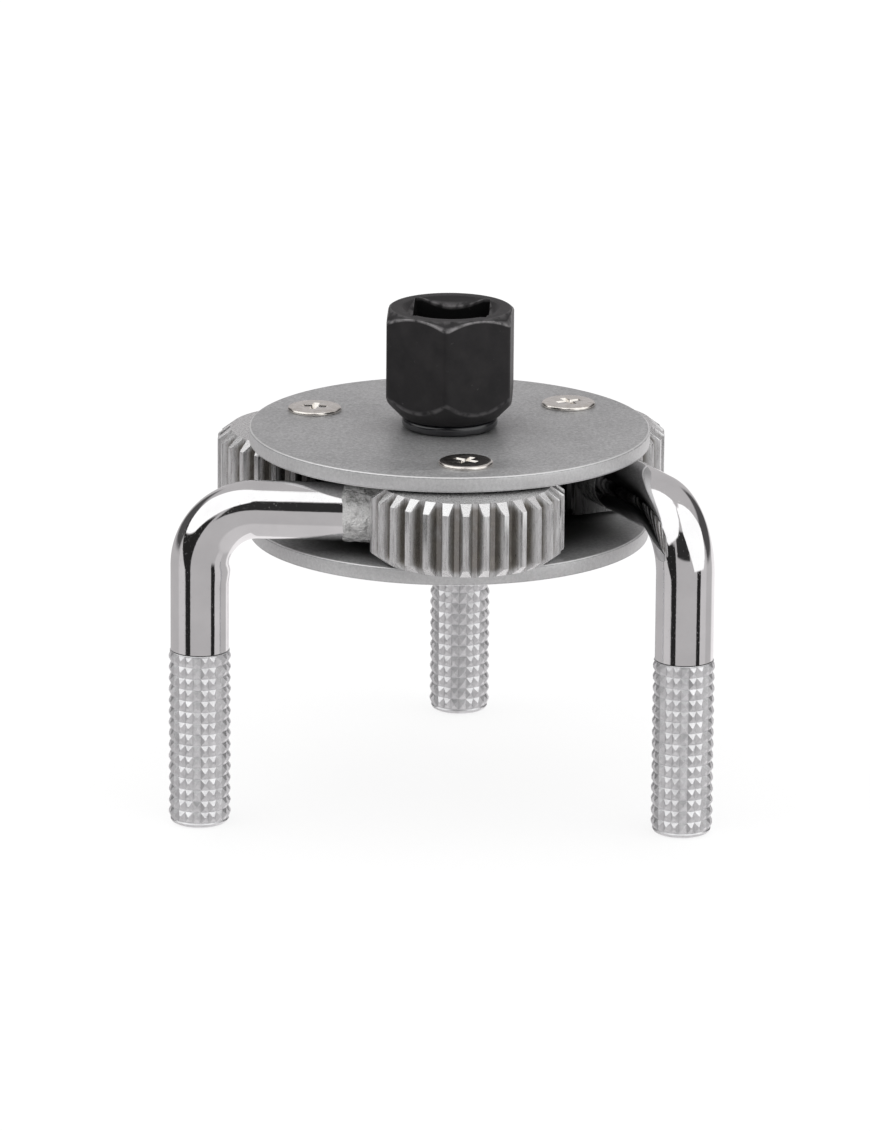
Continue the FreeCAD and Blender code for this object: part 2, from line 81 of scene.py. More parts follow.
GEAR_LOW, GEAR_HIGH = levels("planet_gear_1")
TOP_PLATE_LOW, TOP_PLATE_HIGH = levels("top_plate")
BOTTOM_PLATE_LOW, BOTTOM_PLATE_HIGH = levels("bottom_plate")
PLATE_RADIUS = widest("top_plate")
SHAFT_BOTTOM, HEX_TOP = levels("drive_hex")
RING_LOW, RING_HIGH = levels("thrust_ring")
RING_RADIUS = widest("thrust_ring")
POST_RADIUS = widest("pivot_post_1")
HEAD_RADIUS = widest("top_screw_1")
HEAD_HIGH = levels("top_screw_1")[1]
SHANK_LOW = levels("top_screw_1")[0]

# ---------------------------------------------------------------- sizes of the visible detail

GEAR_MODULE = 0.8 * MM
PRESSURE_ANGLE = math.radians(20)
ADDENDUM = 0.65 * MM
DEDENDUM = 1.0 * MM
PLANET_TEETH = 30
SUN_TEETH = 18
BACKLASH = 0.12 * MM
TOOTH_BEVEL = 1.3 * MM
TIP_ROUND = 0.07 * MM
SEAT_DISTANCE = 10.4 * MM
SEAT_HALF = 4.4 * MM
BORE_RADIUS = POST_RADIUS + 0.05 * MM

ROD_RADIUS = 3.75 * MM
ROD_LEVEL = 41.9 * MM
BEND_RADIUS = 7.5 * MM
# a hair less than the 4.0 mm of the frame's grip, so that no stud's corner leaves its box
GRIP_RADIUS = 3.996 * MM
GRIP_TOP = 23.1 * MM
KNURL_LOW = 0.75 * MM
KNURL_ROWS = 15
KNURL_COLUMNS = 22
KNURL_PITCH = (GRIP_TOP - 0.1 * MM - KNURL_LOW) / KNURL_ROWS
KNURL_TURN = 2 * math.pi / KNURL_COLUMNS
KNURL_VALLEY = GRIP_RADIUS - 0.33 * MM
KNURL_LAND = 0.16
BEAD_END = 15.4 * MM

HEX_APOTHEM = 8.0 * MM
HEX_BOTTOM = 50.1 * MM
HEX_TURN = math.radians(-99.5)
HEX_FILLET = 0.7 * MM
CROWN_RADIUS = 7.85 * MM
CROWN_DROP = 1.25 * MM
SKIRT_RADIUS = 6.3 * MM
SKIRT_FLAT_RISE = 1.75 * MM
SKIRT_CORNER_RISE = 3.45 * MM
NECK_RADIUS = 5.65 * MM
UPPER_JOURNAL = 4.5 * MM
SHAFT_FLAT = 3.75 * MM
LOWER_JOURNAL = 3.6 * MM
SQUARE_APOTHEM = 4.9 * MM
SOCKET_DEPTH = 11.5 * MM
MOUTH_RADIUS = 6.3 * MM
MOUTH_SLOPE = math.tan(math.radians(39))
CLIP_GROOVE = 3.1 * MM


# ---------------------------------------------------------------- mesh helpers

def polar(radius, angle, level=0.0):
    """A point by its distance from +Z, its direction and its height."""
    return Vector((radius * math.cos(angle), radius * math.sin(angle), level))


def add_object(name, data):
    """A new object in the scene."""
    made = bpy.data.objects.new(name, data)
    bpy.context.scene.collection.objects.link(made)
    return made


def clean(mesh, merge):
    """Joins points that are closer than merge, and makes the normals consistent."""
    work = bmesh.new()
    work.from_mesh(mesh)
    if merge:
        bmesh.ops.remove_doubles(work, verts=work.verts, dist=merge)
    bmesh.ops.recalc_face_normals(work, faces=work.faces)
    work.to_mesh(mesh)
    work.free()


def mesh_from(name, points, faces, merge=1e-7):
    """A mesh object from points and faces."""
    mesh = bpy.data.meshes.new(name)
    mesh.from_pydata([tuple(point) for point in points], [], faces)
    clean(mesh, merge)
    return add_object(name, mesh)


def loft(name, rings, wrap=False, caps=True, tags=None):
    """A skin over rings of equal length. wrap joins the last ring to the first; caps close the two ends.

    tags gives each ring's points a value, kept as a mesh attribute: worn edges on the drive, and on the gears how
    deep a point lies, which sets painted shade.
    """
    count = len(rings[0])
    points = [point for ring in rings for point in ring]
    faces = []
    pairs = len(rings) if wrap else len(rings) - 1
    for row in range(pairs):
        low = row * count
        high = ((row + 1) % len(rings)) * count
        for index in range(count):
            following = (index + 1) % count
            faces.append((low + index, low + following, high + following, high + index))
    if caps and not wrap:
        for row in (0, len(rings) - 1):
            centre = sum(rings[row], Vector()) / count
            points.append(centre)
            start = row * count
            for index in range(count):
                faces.append((start + index, start + (index + 1) % count, len(points) - 1))
    piece = mesh_from(name, points, faces, merge=0)
    if tags is not None:
        wear_and_shade = [value for ring in tags for value in ring]
        wear_and_shade += [0.0] * (len(points) - len(wear_and_shade))
        piece.data.attributes.new("wear_and_shade", "FLOAT", "POINT").data.foreach_set("value", wear_and_shade)
    return piece


def shade(piece, degrees=35):
    """Smooth shading that stays sharp at edges steeper than the angle."""
    for polygon in piece.data.polygons:
        polygon.use_smooth = True
    piece.data.set_sharp_from_angle(angle=math.radians(degrees))
    return piece


def circle_ring(radius, level, count=128):
    """A ring of points round +Z."""
    return [polar(radius, 2 * math.pi * k / count, level) for k in range(count)]


def lathe(name, profile, count=128, closed=True):
    """A turned piece from (radius, level) corners. A closed profile leaves a bore through it."""
    rings = [circle_ring(radius, level, count) for radius, level in profile]
    return loft(name, rings, wrap=closed, caps=not closed)


def rounded(corners, steps=3):
    """A closed profile from (radius, level, rounding) corners, each replaced by a small arc."""
    result = []
    count = len(corners)
    places = [Vector(corner[:2]) for corner in corners]
    for index in range(count):
        here = places[index]
        before = places[index - 1] - here
        after = places[(index + 1) % count] - here
        reach = min(corners[index][2], before.length * 0.48, after.length * 0.48)
        start = here + before.normalized() * reach
        end = here + after.normalized() * reach
        for step in range(steps + 1):
            share = step / steps
            point = start * (1 - share) ** 2 + here * 2 * share * (1 - share) + end * share ** 2
            result.append((point.x, point.y))
    return result


def set_in_place(piece, base, turn):
    """Moves the piece's mesh to a place in the frame, turned about +Z. The object stays at the origin."""
    piece.data.transform(Matrix.Translation(base) @ Matrix.Rotation(turn, 4, "Z"))
    piece.data.update()
    return piece


def dress(piece, body, slot, *materials, replaces=()):
    """Gives a piece its materials, the body that it rides on and the CAD nodes that it stands for."""
    for material in materials:
        piece.data.materials.append(material)
    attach(piece, body)
    if replaces:
        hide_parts(*replaces)
    return piece


def cut_away(piece, cutter):
    """Takes one solid out of another for good."""
    cut = piece.modifiers.new("cut", "BOOLEAN")
    cut.operation = "DIFFERENCE"
    cut.solver = "EXACT"
    cut.object = cutter
    bake_modifiers(piece)
    bpy.data.objects.remove(cutter)
    return piece


def bake_modifiers(piece):
    """Turns a piece's modifiers into plain mesh."""
    bpy.context.view_layer.update()
    graph = bpy.context.evaluated_depsgraph_get()
    mesh = bpy.data.meshes.new_from_object(piece.evaluated_get(graph))
    piece.modifiers.clear()
    piece.data = mesh
    return piece


# ---------------------------------------------------------------- material helpers

class Nodes:
    """A short way to write a node tree."""

    def __init__(self, tree):
        self.tree = tree
        tree.nodes.clear()

    def add(self, kind, **settings):
        """A node, with its plain settings made."""
        node = self.tree.nodes.new(kind)
        for key, value in settings.items():
            setattr(node, key, value)
        return node

    def link(self, source, target):
        """Joins an output to an input, or sets a plain value."""
        if isinstance(source, bpy.types.NodeSocket):
            self.tree.links.new(source, target)
        else:
            target.default_value = source

    def math(self, operation, first, second=0.0, third=0.0, clamp=False):
        """One step of arithmetic."""
        node = self.add("ShaderNodeMath", operation=operation, use_clamp=clamp)
        for socket, value in zip(node.inputs, (first, second, third)):
            self.link(value, socket)
        return node.outputs[0]

    def smooth(self, value, low, high):
        """0 below low and 1 above high, with an eased step between."""
        node = self.add("ShaderNodeMapRange", interpolation_type="SMOOTHSTEP")
        self.link(value, node.inputs["Value"])
        self.link(low, node.inputs["From Min"])
        self.link(high, node.inputs["From Max"])
        return node.outputs["Result"]

    def band(self, value, low, high, soft):
        """1 between low and high, falling to 0 over soft on both sides."""
        rise = self.smooth(value, low - soft, low + soft)
        fall = self.smooth(value, high - soft, high + soft)
        return self.math("SUBTRACT", rise, fall, clamp=True)

    def noise(self, vector, scale, detail=4.0, roughness=0.5):
        """A cloud of values from 0 to 1. scale is in repeats per metre."""
        node = self.add("ShaderNodeTexNoise")
        self.link(vector, node.inputs["Vector"])
        node.inputs["Scale"].default_value = scale
        node.inputs["Detail"].default_value = detail
        node.inputs["Roughness"].default_value = roughness
        return node.outputs["Fac"]

    def split(self, vector):
        """The x, y and z of a vector."""
        parts = self.add("ShaderNodeSeparateXYZ")
        self.link(vector, parts.inputs[0])
        return parts.outputs

    def stretch(self, vector, scale):
        """The same coordinates, scaled differently along each axis."""
        node = self.add("ShaderNodeMapping")
        self.link(vector, node.inputs["Vector"])
        node.inputs["Scale"].default_value = scale
        return node.outputs["Vector"]

    def ramp(self, value, *stops):
        """A colour ramp from (position, colour) stops."""
        node = self.add("ShaderNodeValToRGB")
        ramp = node.color_ramp
        ramp.elements[0].position, ramp.elements[0].color = stops[0][0], (*stops[0][1], 1)
        ramp.elements[1].position, ramp.elements[1].color = stops[-1][0], (*stops[-1][1], 1)
        for position, colour in stops[1:-1]:
            ramp.elements.new(position).color = (*colour, 1)
        self.link(value, node.inputs["Fac"])
        return node.outputs["Color"]

    def mix(self, share, first, second):
        """One colour fading into another."""
        node = self.add("ShaderNodeMix", data_type="RGBA")
        self.link(share, node.inputs["Factor"])
        self.link(first if isinstance(first, bpy.types.NodeSocket) else (*first, 1), node.inputs["A"])
        self.link(second if isinstance(second, bpy.types.NodeSocket) else (*second, 1), node.inputs["B"])
        return node.outputs["Result"]

    def blend(self, share, first, second):
        """One value fading into another."""
        node = self.add("ShaderNodeMix", data_type="FLOAT")
        self.link(share, node.inputs["Factor"])
        self.link(first, node.inputs["A"])
        self.link(second, node.inputs["B"])
        return node.outputs["Result"]

    def bump(self, height, distance, strength=1.0, normal=None):
        """A bumped normal; distance is the relief in metres."""
        node = self.add("ShaderNodeBump")
        node.inputs["Strength"].default_value = strength
        node.inputs["Distance"].default_value = distance
        self.link(height, node.inputs["Height"])
        if normal is not None:
            self.link(normal, node.inputs["Normal"])
        return node.outputs["Normal"]


def new_material(name):
    """A material with a bare shader: returns it, its node writer, its shader and its coordinates."""
    material = bpy.data.materials.new(name)
    material.use_nodes = True
    nodes = Nodes(material.node_tree)
    shader = nodes.add("ShaderNodeBsdfPrincipled")
    output = nodes.add("ShaderNodeOutputMaterial")
    nodes.link(shader.outputs["BSDF"], output.inputs["Surface"])
    coordinates = nodes.add("ShaderNodeTexCoord").outputs["Object"]
    return material, nodes, shader, coordinates


def finish(parts, colour, roughness, normal, metallic=1.0):
    """Joins up a material from new_material. roughness is (noise, span, least)."""
    material, nodes, shader, _ = parts
    cloud, span, least = roughness
    nodes.link(colour, shader.inputs["Base Color"])
    nodes.link(nodes.math("MULTIPLY_ADD", cloud, span, least), shader.inputs["Roughness"])
    nodes.link(normal, shader.inputs["Normal"])
    nodes.link(metallic, shader.inputs["Metallic"])
    return material


def make_chrome():
    """Polished chrome: a mirror with a faint ripple, pinholes and a little smear."""
    parts = new_material("polished_chrome")
    _, nodes, _, place = parts
    smear = nodes.noise(place, 260, 3.0)
    colour = nodes.ramp(smear, (0.3, (0.79, 0.785, 0.79)), (0.7, (0.86, 0.855, 0.86)))
    fine = nodes.noise(place, 2600, 5.0, 0.6)
    ripple = nodes.bump(nodes.noise(place, 170, 2.0), 0.00005, 0.35)
    orange_peel = nodes.bump(nodes.noise(place, 1500, 3.0), 0.00001, 0.3, ripple)
    pits = nodes.smooth(nodes.noise(place, 5200, 2.0), 0.68, 0.76)
    return finish(parts, colour, (fine, 0.06, 0.03), nodes.bump(pits, 0.00001, 0.4, orange_peel))


def make_knurl_chrome():
    """Chrome over a knurl: brighter, less clear and slightly uneven from facet to facet."""
    parts = new_material("knurled_chrome")
    _, nodes, _, place = parts
    patches = nodes.noise(place, 900, 3.0)
    colour = nodes.ramp(patches, (0.3, (0.72, 0.72, 0.73)), (0.7, (0.92, 0.92, 0.93)))
    fine = nodes.noise(place, 6000, 4.0, 0.65)
    return finish(parts, colour, (fine, 0.16, 0.25), nodes.bump(fine, 0.00002, 0.5), 0.8)


def upward(nodes):
    """How far a face looks up, from -1 to 1."""
    return nodes.split(nodes.add("ShaderNodeNewGeometry").outputs["True Normal"])[2]


def paint_shade_between_plates(nodes, colour):
    """Darkens a colour deep between the plates with painted shade, near black where the plates cover the gears."""
    x, y, z = nodes.split(nodes.add("ShaderNodeNewGeometry").outputs["Position"])
    reach = nodes.math("SQRT", nodes.math("MULTIPLY_ADD", x, x, nodes.math("MULTIPLY", y, y)))
    deep = nodes.math("SUBTRACT", 1.0, nodes.smooth(reach, 17 * MM, 26 * MM))
    between = nodes.band(z, GEAR_LOW - 0.35 * MM, GEAR_HIGH + 0.35 * MM, 0.03 * MM)
    share = nodes.math("MULTIPLY", deep, between, clamp=True)
    # Painted shade: the colour goes near black deep between the plates.
    return nodes.mix(nodes.math("MULTIPLY", share, 0.93), colour, (0.02, 0.02, 0.02))


def make_plate_steel():
    """Satin plated steel: a grain of light and dark specks, with painted light on the rims, a painted highlight on
    the bevelled edges and painted shade deep between the plates.
    """
    parts = new_material("satin_plate")
    _, nodes, _, place = parts
    clouds = nodes.noise(place, 90, 4.0, 0.55)
    grain = nodes.noise(place, 2600, 5.0, 0.8)
    speckle = nodes.math("MULTIPLY_ADD", grain, 0.8, nodes.math("MULTIPLY", clouds, 0.2))
    colour = nodes.ramp(
        speckle, (0.3, (0.28, 0.28, 0.285)), (0.5, (0.5, 0.5, 0.505)), (0.7, (0.76, 0.76, 0.765))
    )
    # Painted light: upright rims are painted lighter, and bevelled edges lighter still as a painted highlight.
    facing = nodes.math("ABSOLUTE", upward(nodes))
    painted_rim_light = nodes.math("MULTIPLY", nodes.math("SUBTRACT", 1.0, nodes.smooth(facing, 0.1, 0.3)), 0.5)
    colour = nodes.mix(painted_rim_light, colour, (0.88, 0.88, 0.88))
    colour = nodes.mix(nodes.band(facing, 0.3, 0.97, 0.02), colour, (0.92, 0.92, 0.92))
    return finish(parts, paint_shade_between_plates(nodes, colour), (grain, 0.2, 0.34), nodes.bump(grain, 0.00004, 0.6), 0.55)


def make_gear_steel():
    """Machined, plated steel: bright tips, streaks along the teeth, a painted highlight on the upward bevels, and
    painted shade with patchy brown grime in the spaces.
    """
    parts = new_material("gear_steel")
    _, nodes, _, place = parts
    streaks = nodes.noise(nodes.stretch(place, (3200, 3200, 260)), 1.0, 5.0, 0.7)
    clouds = nodes.noise(place, 520, 5.0, 0.65)
    groove = nodes.add("ShaderNodeAttribute", attribute_name="wear_and_shade").outputs["Fac"]
    bright = nodes.ramp(streaks, (0.32, (0.5, 0.49, 0.49)), (0.5, (0.7, 0.7, 0.7)), (0.68, (0.9, 0.9, 0.9)))
    dark = nodes.ramp(clouds, (0.35, (0.13, 0.115, 0.095)), (0.65, (0.42, 0.4, 0.37)))
    # Painted shade with patchy brown grime: darker deep in the tooth spaces and in the bore.
    depth = nodes.smooth(groove, 0.15, 0.75)
    cover = nodes.math("MULTIPLY_ADD", nodes.smooth(clouds, 0.3, 0.6), 0.5, 0.45)
    colour = nodes.mix(nodes.math("MULTIPLY", depth, cover), bright, dark)
    # Painted highlight: faces that look up, the tooth bevels, are painted near white.
    colour = nodes.mix(nodes.band(upward(nodes), 0.35, 0.95, 0.04), colour, (0.95, 0.95, 0.95))
    return finish(parts, paint_shade_between_plates(nodes, colour), (streaks, 0.25, 0.16), nodes.bump(streaks, 0.00004, 0.5), 0.8)


def make_black_oxide():
    """Matt black oxide with a soft mottle, worn lighter where edges rub, and painted shade that makes the socket's
    walls and floor blacker.
    """
    parts = new_material("black_oxide")
    _, nodes, shader, place = parts
    mottle = nodes.noise(place, 350, 6.0, 0.6)
    grain = nodes.noise(place, 4200, 4.0, 0.65)
    edge = nodes.add("ShaderNodeAttribute", attribute_name="wear_and_shade").outputs["Fac"]
    socket_shade = nodes.add("ShaderNodeAttribute", attribute_name="socket_shade").outputs["Fac"]
    base = nodes.ramp(mottle, (0.35, (0.015, 0.014, 0.015)), (0.7, (0.027, 0.025, 0.026)))
    # Painted shade: the socket's walls and floor are painted near black.
    base = nodes.mix(socket_shade, base, (0.003, 0.003, 0.003))
    worn = nodes.math("MULTIPLY", edge, nodes.smooth(nodes.noise(place, 900, 4.0), 0.3, 0.6), clamp=True)
    scuff = nodes.smooth(nodes.noise(place, 1300, 6.0, 0.7), 0.64, 0.74)
    light = nodes.math("MAXIMUM", worn, nodes.math("MULTIPLY", scuff, 0.25), clamp=True)
    colour = nodes.mix(light, base, (0.3, 0.29, 0.295))
    shader.inputs["Specular IOR Level"].default_value = 0.3
    metallic = nodes.math("MULTIPLY", worn, 0.8)
    return finish(parts, colour, (grain, 0.2, 0.4), nodes.bump(grain, 0.00002, 0.5), metallic)


def make_gloss_black():
    """Smooth black ring, a little oily."""
    parts = new_material("gloss_black")
    _, nodes, shader, place = parts
    film = nodes.noise(place, 700, 4.0)
    colour = nodes.ramp(film, (0.3, (0.006, 0.006, 0.008)), (0.7, (0.02, 0.02, 0.024)))
    shader.inputs["Specular IOR Level"].default_value = 0.8
    return finish(parts, colour, (film, 0.2, 0.1), nodes.bump(film, 0.00002, 0.3), 0.0)


def make_nickel():
    """Nickel plate with a warm tint and a fine turned finish."""
    parts = new_material("nickel_plate")
    _, nodes, _, place = parts
    film = nodes.noise(place, 1500, 4.0)
    colour = nodes.ramp(film, (0.3, (0.74, 0.7, 0.65)), (0.7, (0.92, 0.89, 0.85)))
    return finish(parts, colour, (film, 0.16, 0.12), nodes.bump(nodes.noise(place, 5000, 3.0), 0.00001, 0.4))


def make_weld_metal():
    """Plated weld: uneven and lumpy, with bright flecks and darker pits."""
    parts = new_material("weld_metal")
    _, nodes, _, place = parts
    lumps = nodes.noise(place, 800, 6.0, 0.62)
    colour = nodes.ramp(lumps, (0.36, (0.62, 0.62, 0.61)), (0.5, (1.0, 1.0, 0.99)))
    return finish(parts, colour, (lumps, 0.3, 0.02), nodes.bump(lumps, 0.0012, 1.0), 0.65)


def make_dark_spring():
    """Phosphated spring steel: dark grey with a soft sheen."""
    parts = new_material("spring_steel")
    _, nodes, _, place = parts
    film = nodes.noise(place, 1800, 5.0)
    colour = nodes.ramp(film, (0.3, (0.03, 0.03, 0.033)), (0.7, (0.09, 0.09, 0.095)))
    return finish(parts, colour, (film, 0.2, 0.3), nodes.bump(film, 0.00002, 0.4), 0.7)


CHROME = make_chrome()
KNURL_CHROME = make_knurl_chrome()
PLATE_STEEL = make_plate_steel()
GEAR_STEEL = make_gear_steel()
BLACK_OXIDE = make_black_oxide()
GLOSS_BLACK = make_gloss_black()
NICKEL = make_nickel()
WELD_METAL = make_weld_metal()
DARK_SPRING = make_dark_spring()


# ---------------------------------------------------------------- drive: head, neck and shaft

def polygon_radius(angle, apothem, sides, fillet, corner_angle=0.0):
    """The radius of a regular polygon with filleted corners, in a direction from its centre."""
    half = math.pi / sides
    offset = abs((angle - corner_angle + half) % (2 * half) - half)
    centre = (apothem - fillet) / math.cos(half)
    tangent = math.atan2(fillet * math.sin(half), centre + fillet * math.cos(half))
    if offset >= tangent:
        return apothem / math.cos(half - offset)
    return centre * math.cos(offset) + math.sqrt(fillet ** 2 - (centre * math.sin(offset)) ** 2)


HEX_CORNER = HEX_APOTHEM / math.cos(math.pi / 6)
SQUARE_FILLET = 0.2 * MM
EDGE = 0.09 * MM
FADE = 0.45 * MM


def drive_angles():
    """Directions round the head: even steps, with more of them round every corner."""
    steps = {round(3.0 * k, 3) for k in range(120)}
    for corner in range(0, 360, 60):
        steps |= {round((corner + d) % 360, 3) for d in (-2.2, -1.7, -1.1, -0.6, 0.0, 0.6, 1.1, 1.7, 2.2)}
    mouth = 45 - math.degrees(math.acos(SQUARE_APOTHEM / MOUTH_RADIUS))
    for corner in range(45, 360, 90):
        steps |= {round((corner + d) % 360, 3) for d in (-mouth, -1.0, -0.5, 0.0, 0.5, 1.0, mouth)}
    flat_edge = math.degrees(math.acos(SHAFT_FLAT / UPPER_JOURNAL))
    for edge in (flat_edge, -flat_edge, 180 - flat_edge, 180 + flat_edge):
        steps.add(round(edge % 360, 3))
    return [math.radians(step) for step in sorted(steps)]


def hex_radius(angle):
    """The hex's own outline."""
    return polygon_radius(angle, HEX_APOTHEM, 6, HEX_FILLET)


def square_radius(angle):
    """The socket's outline."""
    return polygon_radius(angle, SQUARE_APOTHEM, 4, SQUARE_FILLET, math.pi / 4)


def flat_radius(angle):
    """The round shaft with two flats that carries the sun gear."""
    across = abs(math.cos(angle))
    return min(UPPER_JOURNAL, SHAFT_FLAT / across) if across > 1e-6 else UPPER_JOURNAL


def crown_level(radius):
    """The cone that breaks the hex's top corners."""
    return HEX_TOP - (radius - CROWN_RADIUS) * CROWN_DROP / (HEX_CORNER - CROWN_RADIUS)


def skirt_level(radius):
    """The two cones that break the hex's bottom corners: a shallow one, and a steeper one past the flats."""
    if radius < HEX_APOTHEM:
        return HEX_BOTTOM + (radius - SKIRT_RADIUS) * SKIRT_FLAT_RISE / (HEX_APOTHEM - SKIRT_RADIUS)
    steep = (SKIRT_CORNER_RISE - SKIRT_FLAT_RISE) / (HEX_CORNER - HEX_APOTHEM)
    return HEX_BOTTOM + SKIRT_FLAT_RISE + (radius - HEX_APOTHEM) * steep


def lead_level(radius):
    """The top face, or the socket's lead-in cone where that is lower."""
    return HEX_TOP - max(0.0, MOUTH_RADIUS - radius) * MOUTH_SLOPE


def socket_profile(angle):
    """The socket in one direction, from its floor up to the top face, as (radius, level, wear)."""
    floor = HEX_TOP - SOCKET_DEPTH
    wall = square_radius(angle)
    top = lead_level(wall)
    painted_rim_light = max(MOUTH_RADIUS, wall + 2 * EDGE)
    return [
        (wall * 0.5, floor, 0.0),
        (wall - EDGE, floor, 0.0),
        (wall, floor + EDGE, 0.0),
        (wall, top - FADE, 0.0),
        (wall, top - EDGE / 2, 0.6),
        (wall + EDGE / 2, lead_level(wall + EDGE / 2), 0.6),
        ((wall + painted_rim_light) / 2, lead_level((wall + painted_rim_light) / 2), 0.0),
        (painted_rim_light - EDGE / 2, lead_level(painted_rim_light - EDGE / 2), 0.0),
        (painted_rim_light + EDGE, HEX_TOP, 0.0),
        ((painted_rim_light + CROWN_RADIUS) / 2, HEX_TOP, 0.0),
    ]


def head_profile(angle):
    """The hex in one direction, from its top face to its underside, as (radius, level, wear)."""
    outer = hex_radius(angle)
    chamfer = outer - CROWN_RADIUS
    top = crown_level(outer)
    bottom = skirt_level(outer)
    inner_edge = CROWN_RADIUS + min(EDGE, chamfer * 0.3)
    outer_edge = outer - min(EDGE, chamfer * 0.3)
    return [
        (CROWN_RADIUS - FADE / 2, HEX_TOP, 0.0),
        (CROWN_RADIUS - EDGE / 2, HEX_TOP, 0.3),
        (inner_edge, crown_level(inner_edge), 0.3),
        ((inner_edge + outer_edge) / 2, crown_level((inner_edge + outer_edge) / 2), 0.0),
        (outer_edge, crown_level(outer_edge), 0.9),
        (outer, top - EDGE, 0.9),
        (outer, top - 3 * EDGE, 0.0),
        (outer, bottom + FADE, 0.0),
        (outer, bottom + EDGE, 0.35),
        (outer - EDGE, skirt_level(outer - EDGE), 0.35),
        (outer - FADE * 0.7, skirt_level(outer - FADE * 0.7), 0.0),
        (HEX_APOTHEM - FADE, skirt_level(HEX_APOTHEM - FADE), 0.0),
        (SKIRT_RADIUS + EDGE, skirt_level(SKIRT_RADIUS + EDGE), 0.0),
        (SKIRT_RADIUS - EDGE, HEX_BOTTOM, 0.0),
        (NECK_RADIUS, HEX_BOTTOM, 0.0),
    ]


def shaft_profile(angle):
    """The neck and shaft in one direction, down to the lower end, as (radius, level, wear)."""
    groove_low, groove_high = levels("retaining_clip")
    flats = flat_radius(angle)
    return [(radius, level, 0.0) for radius, level in (
        (NECK_RADIUS, RING_HIGH),
        (UPPER_JOURNAL, RING_HIGH),
        (UPPER_JOURNAL, GEAR_HIGH),
        (flats, GEAR_HIGH),
        (flats, GEAR_LOW),
        (LOWER_JOURNAL, GEAR_LOW),
        (LOWER_JOURNAL, groove_high),
        (CLIP_GROOVE, groove_high),
        (CLIP_GROOVE, groove_low),
        (LOWER_JOURNAL - EDGE, groove_low),
        (LOWER_JOURNAL, groove_low - EDGE),
        (LOWER_JOURNAL, SHAFT_BOTTOM + 0.5 * MM),
        (LOWER_JOURNAL - 0.4 * MM, SHAFT_BOTTOM + 0.1 * MM),
        (LOWER_JOURNAL - 0.55 * MM, SHAFT_BOTTOM),
        (LOWER_JOURNAL * 0.4, SHAFT_BOTTOM),
    )]


def mark_socket(piece, count):
    """Marks the socket's floor and walls with 1 in a mesh attribute, where the black oxide paints shade."""
    wall_rings = 4
    floor = HEX_TOP - SOCKET_DEPTH
    values = []
    for index, vertex in enumerate(piece.data.vertices):
        on_wall = index < count * wall_rings
        on_floor = vertex.co.xy.length < NECK_RADIUS and HEX_BOTTOM < vertex.co.z < floor + MM
        values.append(float(on_wall or on_floor))
    piece.data.attributes.new("socket_shade", "FLOAT", "POINT").data.foreach_set("value", values)


def make_drive():
    """The hex head with its socket, and the shaft below it, as one turned and milled piece."""
    columns = []
    for angle in drive_angles():
        column = socket_profile(angle) + head_profile(angle) + shaft_profile(angle)
        columns.append([(polar(radius, angle, level), wear_and_shade) for radius, level, wear_and_shade in column])
    rings = [[column[row][0] for column in columns] for row in range(len(columns[0]))]
    tags = [[column[row][1] for column in columns] for row in range(len(columns[0]))]
    piece = loft("drive_head", rings, tags=tags)
    mark_socket(piece, len(columns))
    set_in_place(piece, Vector(), HEX_TURN)
    shade(piece, 30)
    dress(piece, "drive", "black_oxide", BLACK_OXIDE, replaces=("drive_hex",))


def make_turned_rings():
    """The black ring on the plate, well rounded outside, and the washer below."""
    inner = UPPER_JOURNAL + 0.02 * MM
    corners = [
        (inner, RING_LOW, 0.1 * MM), (RING_RADIUS, RING_LOW, 0.66 * MM),
        (RING_RADIUS, RING_HIGH, 0.66 * MM), (inner, RING_HIGH, 0.1 * MM),
    ]
    ring = shade(lathe("thrust_ring_turned", rounded(corners, 7)), 40)
    dress(ring, "drive", "black_ring", GLOSS_BLACK, replaces=("thrust_ring",))
    low, high = levels("lower_washer")
    outer = widest("lower_washer")
    inner = LOWER_JOURNAL + 0.02 * MM
    soft = 0.15 * MM
    corners = [(inner, low, soft), (outer, low, soft), (outer, high, soft), (inner, high, soft)]
    washer = shade(lathe("lower_washer_turned", rounded(corners)), 40)
    dress(washer, "drive", "zinc_washer", PLATE_STEEL, replaces=("lower_washer",))


def outline_points(pieces, steps):
    """Points along a chain of arcs, each (centre, radius, start, end) with angles in degrees."""
    points = []
    for centre, radius, start, end in pieces:
        for step in range(steps + 1):
            angle = math.radians(start + (end - start) * step / steps)
            points.append(Vector(centre) + polar(radius, angle).xy)
    return points


def flat_piece(name, loops, low, high, edge):
    """A flat sheet-metal piece: the first loop is its outline, and the others are holes."""
    curve = bpy.data.curves.new(name, "CURVE")
    curve.dimensions = "2D"
    curve.fill_mode = "BOTH"
    curve.extrude = (high - low) / 2 - edge
    curve.bevel_depth = edge
    curve.bevel_resolution = 2
    curve.offset = -edge
    for loop in loops:
        spline = curve.splines.new("POLY")
        spline.points.add(len(loop) - 1)
        for point, place in zip(spline.points, loop):
            point.co = (place[0], place[1], 0, 1)
        spline.use_cyclic_u = True
    holder = add_object(name, curve)
    bpy.context.view_layer.update()
    mesh = bpy.data.meshes.new_from_object(holder.evaluated_get(bpy.context.evaluated_depsgraph_get()))
    bpy.data.objects.remove(holder)
    mesh.transform(Matrix.Translation((0, 0, (low + high) / 2)))
    clean(mesh, 2e-6)
    mesh.name = name
    return shade(add_object(name, mesh), 40)


def round_loop(radius, centre=(0.0, 0.0), count=128):
    """Points round a circle."""
    return outline_points([(centre, radius, 0, 360 - 360 / count)], count - 1)


